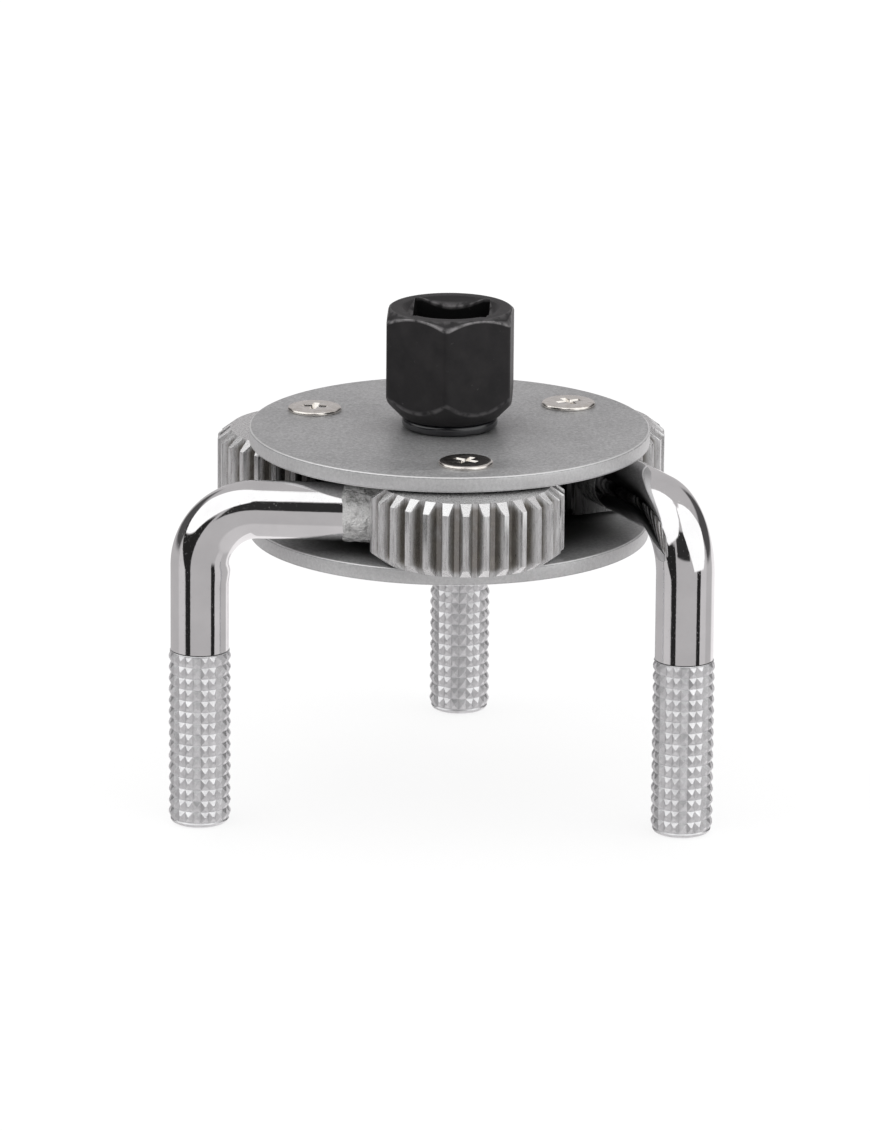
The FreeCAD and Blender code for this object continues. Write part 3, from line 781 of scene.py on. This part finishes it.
def make_clip():
    """The open spring clip in the shaft's groove, with rounded tips. Its angles are in degrees."""
    low, high = levels("retaining_clip")
    outer = widest("lower_washer") - 0.6 * MM
    opening = 27
    inner_opening = 38
    tip_end = 120
    tip = 0.9 * MM
    middle = (outer + CLIP_GROOVE) / 2
    along = middle * math.cos(math.radians(opening))
    aside = middle * math.sin(math.radians(opening))
    loop = outline_points([
        ((0, 0), outer, opening, 360 - opening),
        ((along, -aside), tip, -opening, tip_end),
        ((0, 0), CLIP_GROOVE + 0.05 * MM, 360 - inner_opening, inner_opening),
        ((along, aside), tip, 360 - tip_end, 360 + opening),
    ], 40)
    clip = flat_piece("retaining_clip_sprung", [loop], low, high, 0.08 * MM)
    dress(clip, "drive", "spring_steel", DARK_SPRING, replaces=("retaining_clip",))


# ---------------------------------------------------------------- plates, posts and screws

def make_plates():
    """The two round plates with softened edges and their holes."""
    holes = [round_loop(2.2 * MM, PIVOTS[f"jaw_{jaw}"].xy, 48) for jaw in JAWS]
    for node, low, high, bore in (
        ("top_plate", TOP_PLATE_LOW, TOP_PLATE_HIGH, UPPER_JOURNAL),
        ("bottom_plate", BOTTOM_PLATE_LOW, BOTTOM_PLATE_HIGH, LOWER_JOURNAL),
    ):
        loops = [round_loop(PLATE_RADIUS, count=256), round_loop(bore + 0.05 * MM, count=96), *holes]
        plate = flat_piece(f"{node}_disc", loops, low, high, 0.22 * MM)
        dress(plate, "frame", "plate_steel", PLATE_STEEL, replaces=(node,))


def make_posts():
    """The posts between the plates keep their CAD shape."""
    for jaw in JAWS:
        post = frame["nodes"][f"pivot_post_{jaw}"]
        post.data.materials.clear()
        post.data.materials.append(GEAR_STEEL)


def recess_wing(top, turn):
    """One bar of the cross-shaped driver recess, narrowing downwards."""
    half_length = 1.62 * MM
    half_width = 0.4 * MM
    points = []
    for level, share in ((top + 0.25 * MM, 1.12), (top - 1.25 * MM, 0.5)):
        for x, y in ((-1, -1), (1, -1), (1, 1), (-1, 1)):
            point = Vector((x * half_length * share, y * half_width * share, level))
            point.rotate(Matrix.Rotation(turn, 3, "Z"))
            points.append(point)
    faces = [(0, 1, 2, 3), (7, 6, 5, 4), (0, 4, 5, 1), (1, 5, 6, 2), (2, 6, 7, 3), (3, 7, 4, 0)]
    return mesh_from("recess_wing", points, faces)


def screw_shape(name):
    """A low-headed screw with its head above z = 0 and its shank below."""
    height = HEAD_HIGH - TOP_PLATE_HIGH
    shank = 1.95 * MM
    tip = SHANK_LOW - TOP_PLATE_HIGH
    profile = [
        (0.3 * MM, tip), (shank - 0.3 * MM, tip), (shank, tip + 0.3 * MM), (shank, 0.0),
        (HEAD_RADIUS - 0.06 * MM, 0.0), (HEAD_RADIUS, 0.06 * MM), (HEAD_RADIUS, height * 0.45),
        (HEAD_RADIUS - 0.04 * MM, height * 0.62), (HEAD_RADIUS - 0.14 * MM, height * 0.8),
        (HEAD_RADIUS - 0.3 * MM, height * 0.93), (HEAD_RADIUS - 0.6 * MM, height * 0.99),
        (HEAD_RADIUS - 1.0 * MM, height), (0.3 * MM, height),
    ]
    screw = lathe(name, profile, 72, closed=False)
    for turn in (0, math.pi / 2):
        cut_away(screw, recess_wing(height, turn))
    edges = screw.modifiers.new("edges", "BEVEL")
    edges.width = 0.05 * MM
    edges.segments = 2
    edges.limit_method = "ANGLE"
    edges.angle_limit = math.radians(40)
    bake_modifiers(screw)
    return shade(screw, 35)


def make_screws():
    """Three screws in each plate, each with its recess turned its own way."""
    spin = {1: 52, 2: 20, 3: 75}
    for jaw in JAWS:
        pivot = PIVOTS[f"jaw_{jaw}"]
        top = screw_shape(f"top_screw_{jaw}_turned")
        set_in_place(top, Vector((pivot.x, pivot.y, TOP_PLATE_HIGH)), math.radians(spin[jaw]))
        dress(top, "frame", "nickel_screw", NICKEL, replaces=(f"top_screw_{jaw}",))
        low = screw_shape(f"bottom_screw_{jaw}_turned")
        low.data.transform(Matrix.Rotation(math.pi, 4, "X"))
        set_in_place(low, Vector((pivot.x, pivot.y, BOTTOM_PLATE_LOW)), math.radians(spin[jaw] + 33))
        dress(low, "frame", "nickel_screw", NICKEL, replaces=(f"bottom_screw_{jaw}",))


# ---------------------------------------------------------------- gears

def involute(angle):
    """The involute function."""
    return math.tan(angle) - angle


def tooth_half_angle(teeth, radius):
    """Half the angle that a tooth fills at a radius."""
    pitch = GEAR_MODULE * teeth / 2
    base = pitch * math.cos(PRESSURE_ANGLE)
    local = math.acos(min(1.0, base / radius))
    full = math.pi / (2 * teeth) + involute(PRESSURE_ANGLE) - involute(local)
    return full - BACKLASH / 4 / pitch


def gear_ring(teeth, level, share):
    """One layer of a gear. share is how much of the tooth's height stands at this level."""
    pitch = GEAR_MODULE * teeth / 2
    root = pitch - DEDENDUM
    tip = pitch + ADDENDUM
    top = root + (tip - root) * share
    round_off = TIP_ROUND * share
    points = []
    heights = (0.0, 0.06, 0.16, 0.34, 0.54, 0.76, 1.0)
    for tooth in range(teeth):
        middle = 2 * math.pi * (tooth + 0.5) / teeth
        side = []
        for height in heights:
            radius = root + (top - round_off - root) * height
            half = tooth_half_angle(teeth, max(radius, root))
            flare = 0.16 * GEAR_MODULE / root * max(0.0, 1 - height / 0.3) ** 2
            side.append((radius, half + flare))
        side.append((top, side[-1][1] - round_off / top))
        for radius, half in side:
            points.append((radius, middle - half))
        points.append((top, middle))
        for radius, half in reversed(side):
            points.append((radius, middle + half))
    grooves = [1 - (radius - root) / (tip - root) for radius, _ in points]
    return [polar(radius, angle, level) for radius, angle in points], grooves


def gear_shape(name, teeth, bore, bevelled):
    """A spur gear about +Z with a space towards +X, its teeth bevelled at both ends or just broken.

    bore gives the radius of the hole in each direction.
    """
    bevel = TOOTH_BEVEL if bevelled else 0.2 * MM
    low_share = 0.0 if bevelled else 0.86
    soft = 0.07 * MM
    layers = [(0.0, low_share), (bevel - soft, 0.97), (bevel + soft, 1.0)]
    thickness = GEAR_HIGH - GEAR_LOW
    mirrored = [(thickness - level, share) for level, share in reversed(layers)]
    rings = []
    tags = []
    for level, share in layers + mirrored:
        ring, grooves = gear_ring(teeth, level, share)
        rings.append(ring)
        # Each point's tag is how deep it lies in a tooth space, where the gear steel paints shade and grime.
        tags.append([groove * share for groove in grooves])
    directions = [math.atan2(point.y, point.x) for point in rings[0]]
    chamfer = 0.25 * MM
    for widening, level in ((chamfer, thickness), (0.0, thickness - chamfer), (0.0, chamfer), (chamfer, 0.0)):
        rings.append([polar(bore(angle) + widening, angle, level) for angle in directions])
        # The bore gets a little of the painted shade and grime.
        tags.append([0.3] * len(directions))
    return loft(name, rings, wrap=True, tags=tags)


def box_cutter(name, low, high):
    """A plain box to cut with."""
    corners = [(x, y, z) for x in (low[0], high[0]) for y in (low[1], high[1]) for z in (low[2], high[2])]
    faces = [(0, 1, 3, 2), (4, 6, 7, 5), (0, 4, 5, 1), (2, 3, 7, 6), (0, 2, 6, 4), (1, 5, 7, 3)]
    return mesh_from(name, corners, faces)


def arm_direction(jaw):
    """The direction of an arm, seen from above, from its pivot to its leg."""
    along = MOUNTS[f"leg_tip_{jaw}"] - PIVOTS[f"jaw_{jaw}"]
    return math.atan2(along.y, along.x)


def arm_length(jaw):
    """The distance from the pivot to the leg's axis."""
    return (MOUNTS[f"leg_tip_{jaw}"] - PIVOTS[f"jaw_{jaw}"]).xy.length


def round_bore(angle):
    """The hole of a planet gear, which runs on its post."""
    return BORE_RADIUS


def flatted_bore(angle):
    """The hole of the sun gear, which fits the two flats of the shaft."""
    return flat_radius(angle - HEX_TURN) + 0.02 * MM


def make_gears():
    """Three planet gears with their arm seats, and the sun gear between them."""
    outer = GEAR_MODULE * PLANET_TEETH / 2 + ADDENDUM
    for jaw in JAWS:
        pivot = PIVOTS[f"jaw_{jaw}"]
        to_sun = math.atan2(-pivot.y, -pivot.x)
        gear = gear_shape(f"planet_gear_{jaw}_cut", PLANET_TEETH, round_bore, True)
        seat = box_cutter(
            "seat", (SEAT_DISTANCE, -SEAT_HALF, -MM), (outer + MM, SEAT_HALF, GEAR_HIGH - GEAR_LOW + MM)
        )
        seat.data.transform(Matrix.Rotation(arm_direction(jaw) - to_sun, 4, "Z"))
        cut_away(gear, seat)
        set_in_place(gear, Vector((pivot.x, pivot.y, GEAR_LOW)), to_sun)
        shade(gear, 28)
        dress(gear, f"jaw_{jaw}", "gear_steel", GEAR_STEEL, replaces=(f"planet_gear_{jaw}",))
    sun = gear_shape("sun_gear_cut", SUN_TEETH, flatted_bore, False)
    set_in_place(sun, Vector((0, 0, GEAR_LOW)), 0)
    shade(sun, 28)
    dress(sun, "drive", "gear_steel", GEAR_STEEL, replaces=("sun_gear",))


# ---------------------------------------------------------------- arms

def rod_ring(centre, outward, radius, count, swell=0.0):
    """A ring of points across the rod, whose section plane holds outward and the sideways direction."""
    sideways = Vector((0, 1, 0))
    ring = []
    for k in range(count):
        angle = 2 * math.pi * k / count
        inner = max(0.0, -math.cos(angle)) ** 6
        local = radius * (1 + swell * inner)
        ring.append(centre + outward * local * math.cos(angle) + sideways * local * math.sin(angle))
    return ring


def rod_rings(length, count):
    """The rod from its welded end to the top of its grip, bent once."""
    rings = []
    for share in (0.0, 0.25, 0.5, 0.75, 1.0):
        x = SEAT_DISTANCE + (length - BEND_RADIUS - SEAT_DISTANCE) * share
        rings.append(rod_ring(Vector((x, 0, ROD_LEVEL)), Vector((0, 0, 1)), ROD_RADIUS, count))
    corner = Vector((length - BEND_RADIUS, 0, ROD_LEVEL - BEND_RADIUS))
    steps = 28
    for step in range(1, steps):
        turn = math.pi / 2 * step / steps
        outward = Vector((math.sin(turn), 0, math.cos(turn)))
        pinch = math.sin(2 * turn) ** 2
        rings.append(rod_ring(corner + outward * BEND_RADIUS, outward, ROD_RADIUS, count, 0.035 * pinch))
    for share in (0.0, 0.06, 0.12, 0.2, 0.4, 0.7, 1.0):
        z = ROD_LEVEL - BEND_RADIUS + (GRIP_TOP + 0.12 * MM - ROD_LEVEL + BEND_RADIUS) * share
        bulge = 0.06 * math.exp(-((share - 0.08) / 0.06) ** 2)
        rings.append(rod_ring(Vector((length, 0, z)), Vector((1, 0, 0)), ROD_RADIUS, count, bulge))
    return rings


def set_on_jaw(piece, jaw):
    """Moves a piece that was made with the arm along +X to its jaw's place."""
    pivot = PIVOTS[f"jaw_{jaw}"]
    return set_in_place(piece, Vector((pivot.x, pivot.y, 0)), arm_direction(jaw))


def make_rod(jaw):
    """The smooth, bent part of an arm."""
    piece = loft(f"jaw_arm_{jaw}_rod", rod_rings(arm_length(jaw), 72))
    set_on_jaw(piece, jaw)
    shade(piece, 50)
    dress(piece, f"jaw_{jaw}", "chrome_rod", CHROME, replaces=(f"jaw_arm_{jaw}",))


def add_studs(points, faces, chance):
    """Rows of pointed studs left between straight and round grooves, each a little uneven."""
    for row in range(KNURL_ROWS + 1):
        for column in range(KNURL_COLUMNS):
            points.append(polar(KNURL_VALLEY, column * KNURL_TURN, KNURL_LOW + row * KNURL_PITCH))
    for row in range(KNURL_ROWS):
        for column in range(KNURL_COLUMNS):
            following = (column + 1) % KNURL_COLUMNS
            base = [
                row * KNURL_COLUMNS + column, row * KNURL_COLUMNS + following,
                (row + 1) * KNURL_COLUMNS + following, (row + 1) * KNURL_COLUMNS + column,
            ]
            height = GRIP_RADIUS * (1 - 0.012 * chance.random())
            land = KNURL_LAND * (0.7 + 0.6 * chance.random())
            across = (column + 0.5 + 0.05 * (chance.random() - 0.5)) * KNURL_TURN
            up = KNURL_LOW + (row + 0.5 + 0.05 * (chance.random() - 0.5)) * KNURL_PITCH
            top = [len(points) + k for k in range(4)]
            for x, y in ((-1, -1), (1, -1), (1, 1), (-1, 1)):
                level = up + y * land * KNURL_PITCH / 2
                points.append(polar(height, across + x * land * KNURL_TURN / 2, level))
            for k in range(4):
                faces.append((base[k], base[(k + 1) % 4], top[(k + 1) % 4], top[k]))
            faces.append(tuple(top))


def add_end(points, faces, start, rings):
    """Closes one end of the grip, from the ring of points at start over each (radius, level) ring."""
    pairs = [(column, (column + 1) % KNURL_COLUMNS) for column in range(KNURL_COLUMNS)]
    for radius, level in rings:
        first = len(points)
        points += [polar(radius, column * KNURL_TURN, level) for column in range(KNURL_COLUMNS)]
        faces += [(start + here, start + there, first + there, first + here) for here, there in pairs]
        start = first
    points.append(Vector((0, 0, rings[-1][1])))
    faces += [(start + here, start + there, len(points) - 1) for here, there in pairs]


def make_grip(jaw):
    """The knurled end of an arm."""
    points = []
    faces = []
    add_studs(points, faces, random.Random(SEED + jaw))
    add_end(points, faces, 0, [
        (KNURL_VALLEY + 0.12 * MM, KNURL_LOW - 0.16 * MM), (KNURL_VALLEY - 0.05 * MM, 0.28 * MM),
        (KNURL_VALLEY - 0.42 * MM, 0.08 * MM), (KNURL_VALLEY - 0.95 * MM, 0.0), (KNURL_VALLEY * 0.3, 0.0),
    ])
    add_end(points, faces, KNURL_ROWS * KNURL_COLUMNS, [
        (GRIP_RADIUS - 0.12 * MM, GRIP_TOP - 0.06 * MM), (ROD_RADIUS + 0.06 * MM, GRIP_TOP),
        (ROD_RADIUS - 0.3 * MM, GRIP_TOP + 0.02 * MM),
    ])
    piece = mesh_from(f"jaw_arm_{jaw}_grip", points, faces)
    piece.data.transform(Matrix.Translation((arm_length(jaw), 0, 0)))
    set_on_jaw(piece, jaw)
    shade(piece, 20)
    dress(piece, f"jaw_{jaw}", "chrome_rod", KNURL_CHROME)


def make_bead(jaw):
    """The uneven run of weld between a gear and its arm."""
    count = 96
    steps = 26
    rings = []
    for step in range(steps + 1):
        share = step / steps
        x = SEAT_DISTANCE + (BEAD_END - SEAT_DISTANCE) * share
        swell = 0.16 * MM * (1 - share) ** 0.7 + 0.06 * MM
        ring = []
        for k in range(count):
            angle = 2 * math.pi * k / count
            seed = Vector((x * 900, math.cos(angle) * 3.2, math.sin(angle) * 3.2 + jaw * 9))
            ripple = noise.fractal(seed, 0.8, 2.0, 4)
            radius = ROD_RADIUS + max(0.01 * MM, swell * (0.62 + 0.6 * ripple))
            end = 0.35 * MM * noise.noise(Vector((math.cos(angle) * 2, math.sin(angle) * 2, jaw))) * share
            ring.append(Vector((x + end, radius * math.cos(angle), ROD_LEVEL + radius * math.sin(angle))))
        rings.append(ring)
    closing = ROD_RADIUS - 0.1 * MM
    for x in (BEAD_END, SEAT_DISTANCE):
        rings.append([
            Vector((x, closing * math.cos(2 * math.pi * k / count),
                    ROD_LEVEL + closing * math.sin(2 * math.pi * k / count)))
            for k in range(count)
        ])
    piece = loft(f"weld_bead_{jaw}_run", rings, wrap=True)
    set_on_jaw(piece, jaw)
    shade(piece, 60)
    dress(piece, f"jaw_{jaw}", "weld_metal", WELD_METAL, replaces=(f"weld_bead_{jaw}",))


def make_arms():
    """All three arms with their grips and welds."""
    for jaw in JAWS:
        make_rod(jaw)
        make_grip(jaw)
        make_bead(jaw)


# ---------------------------------------------------------------- studio

def make_floor():
    """A plain white floor that gives back soft light and shows a faint shadow."""
    points = [(-4, -4, 0), (4, -4, 0), (4, 4, 0), (-4, 4, 0)]
    floor = mesh_from("floor", points, [(0, 1, 2, 3)])
    material = bpy.data.materials.new("floor_white")
    material.use_nodes = True
    nodes = Nodes(material.node_tree)
    diffuse = nodes.add("ShaderNodeBsdfDiffuse")
    diffuse.inputs["Color"].default_value = (FLOOR_ALBEDO, FLOOR_ALBEDO, FLOOR_ALBEDO, 1)
    glow = nodes.add("ShaderNodeEmission")
    glow.inputs["Color"].default_value = (1, 1, 1, 1)
    path = nodes.add("ShaderNodeLightPath")
    returned = FLOOR_ALBEDO * SKY_LIGHT
    glow_share = nodes.blend(path.outputs["Is Camera Ray"], FLOOR_LIGHT - returned, 1.0 - returned)
    nodes.link(glow_share, glow.inputs["Strength"])
    both = nodes.add("ShaderNodeAddShader")
    nodes.link(diffuse.outputs[0], both.inputs[0])
    nodes.link(glow.outputs[0], both.inputs[1])
    output = nodes.add("ShaderNodeOutputMaterial")
    nodes.link(both.outputs[0], output.inputs["Surface"])
    floor.data.materials.append(material)
    floor.visible_glossy = False


class Studio(Nodes):
    """A picture of the studio, painted by direction.

    Azimuth 0 is the camera's side and 90 its right. Azimuth, elevation and soft edges are in degrees.
    """

    def __init__(self, tree):
        super().__init__(tree)
        x, y, z = self.split(self.add("ShaderNodeTexCoord").outputs["Generated"])
        turn = self.math("ARCTAN2", x, self.math("MULTIPLY", y, -1.0))
        self.azimuth = self.math("ADD", self.math("MULTIPLY", turn, math.degrees(1)), STUDIO_TURN)
        self.elevation = self.math("MULTIPLY", self.math("ARCSINE", z), math.degrees(1))
        self.side = self.math("ABSOLUTE", self.azimuth)
        self.value = 0.0

    def above(self, limit, soft=1.2):
        """1 where the elevation is over a limit."""
        return self.smooth(self.math("SUBTRACT", self.elevation, limit), -soft, soft)

    def below(self, limit, soft):
        """1 where the elevation is under a limit."""
        return self.math("SUBTRACT", 1, self.above(limit, soft))

    def between(self, low, high, soft=1.2):
        """1 between two azimuths."""
        return self.band(self.azimuth, low, high, soft)

    def both_sides(self, low, high, soft):
        """1 between two azimuths and between their mirror images."""
        return self.band(self.side, low, high, soft)

    def level(self, low, high, soft):
        """1 between two elevations."""
        return self.band(self.elevation, low, high, soft)

    def line(self, start, slope):
        """A limit that is 0 at an azimuth and grows by slope for each degree."""
        return self.math("MULTIPLY", self.math("SUBTRACT", self.azimuth, start), slope)

    def paint(self, brightness, *masks):
        """Lays a brightness over the part of the picture where every mask is 1."""
        share = masks[0]
        for mask in masks[1:]:
            share = self.math("MULTIPLY", share, mask)
        self.value = self.blend(share, self.value, brightness)

    def paint_walls(self):
        """The dim room: its floor, its sides and the bright low wall and dark high wall behind."""
        self.value = self.blend(self.above(-45, 4), 0.62, 0.5)
        self.paint(0.62, self.both_sides(60, 90, 3), self.level(-45, 8, 6))
        self.paint(0.95, self.between(128, 200, 6), self.level(-95, -4, 3))
        self.paint(0.08, self.both_sides(98, 155, 5), self.level(-2, 30, 4))

    def paint_strips(self):
        """The dark gap under the softboxes, and a dark strip at each side of the front."""
        self.paint(0.03, self.between(-30, 20, 2), self.level(10, 46, 2))
        slanted = self.math("MULTIPLY_ADD", self.math("ADD", self.elevation, 16), -1.6, -57)
        reached = self.smooth(self.math("SUBTRACT", self.azimuth, slanted), -1.2, 1.2)
        self.paint(0.02, reached, self.between(-120, -36), self.level(-24, 20, 4))
        self.paint(0.02, self.between(46, 62), self.level(-24, 0, 4))

    def paint_softbox(self, slopes, base, left, right, top):
        """A big light between two azimuths, with a lower edge that rises from base along the slopes."""
        rise = 0
        for start, slope in slopes:
            rise = self.math("MAXIMUM", rise, self.line(start, slope))
        lower = self.above(self.math("ADD", rise, base))
        self.paint(1.22, lower, self.between(left, right), self.below(top, 3))

    def colour(self):
        """The picture, with its dim parts slightly pink."""
        tint = self.mix(self.smooth(self.value, 0.9, 1.1), (1.02, 0.99, 1.0), (1, 1, 1))
        tinted = self.add("ShaderNodeVectorMath", operation="SCALE")
        self.link(tint, tinted.inputs[0])
        self.link(self.value, tinted.inputs["Scale"])
        return tinted.outputs[0]


def make_world():
    """The studio for mirror reflections, an even sky for soft light and plain white for the camera."""
    world = bpy.data.worlds.new("studio")
    bpy.context.scene.world = world
    world.use_nodes = True
    studio = Studio(world.node_tree)
    studio.paint_walls()
    studio.paint_strips()
    studio.paint_softbox(((-60, 0.62), (-95, -0.75), (-35.5, 1.6)), 12, -128, -5, 86)
    studio.paint_softbox(((35, -1.7), (75, 1.0)), -4, 5, 106, 82)
    path = studio.add("ShaderNodeLightPath")
    sky = studio.blend(studio.smooth(studio.elevation, 15, 50), SKY_LIGHT * 0.5, SKY_LIGHT * 1.3)
    light = studio.mix(path.outputs["Is Diffuse Ray"], studio.colour(), sky)
    seen = studio.mix(path.outputs["Is Camera Ray"], light, (1, 1, 1))
    background = studio.add("ShaderNodeBackground")
    studio.link(seen, background.inputs["Color"])
    output = studio.add("ShaderNodeOutputWorld")
    studio.link(background.outputs[0], output.inputs["Surface"])


def make_camera():
    """The camera, far off with a long lens, a little above the plates and left of square."""
    distance = 1100 * MM
    elevation = math.radians(15.6)
    azimuth = math.radians(-6.2)
    roll = math.radians(0.45)
    aim = Vector((0, 0, TOP_PLATE_HIGH))
    shift_right = 1.75 * MM
    shift_up = 18.06 * MM
    back = Vector((
        math.sin(azimuth) * math.cos(elevation), -math.cos(azimuth) * math.cos(elevation), math.sin(elevation)
    ))
    right = Vector((math.cos(azimuth), math.sin(azimuth), 0))
    up = back.cross(right)
    data = bpy.data.cameras.new("camera")
    data.sensor_width = 36
    data.lens = 270.83
    data.clip_start = 0.05
    data.clip_end = 50
    camera = add_object("camera", data)
    place = aim + back * distance - right * shift_right - up * shift_up
    axes = Matrix((right, up, back)).transposed().to_4x4()
    camera.matrix_world = Matrix.Translation(place) @ axes @ Matrix.Rotation(roll, 4, "Z")
    bpy.context.scene.camera = camera


def make_look():
    """Plain colour handling, so that white stays white."""
    scene = bpy.context.scene
    scene.view_settings.view_transform = "Standard"
    scene.view_settings.look = "None"


make_camera()
make_look()
make_world()
make_floor()
make_plates()
make_posts()
make_screws()
make_gears()
make_drive()
make_turned_rings()
make_clip()
make_arms()
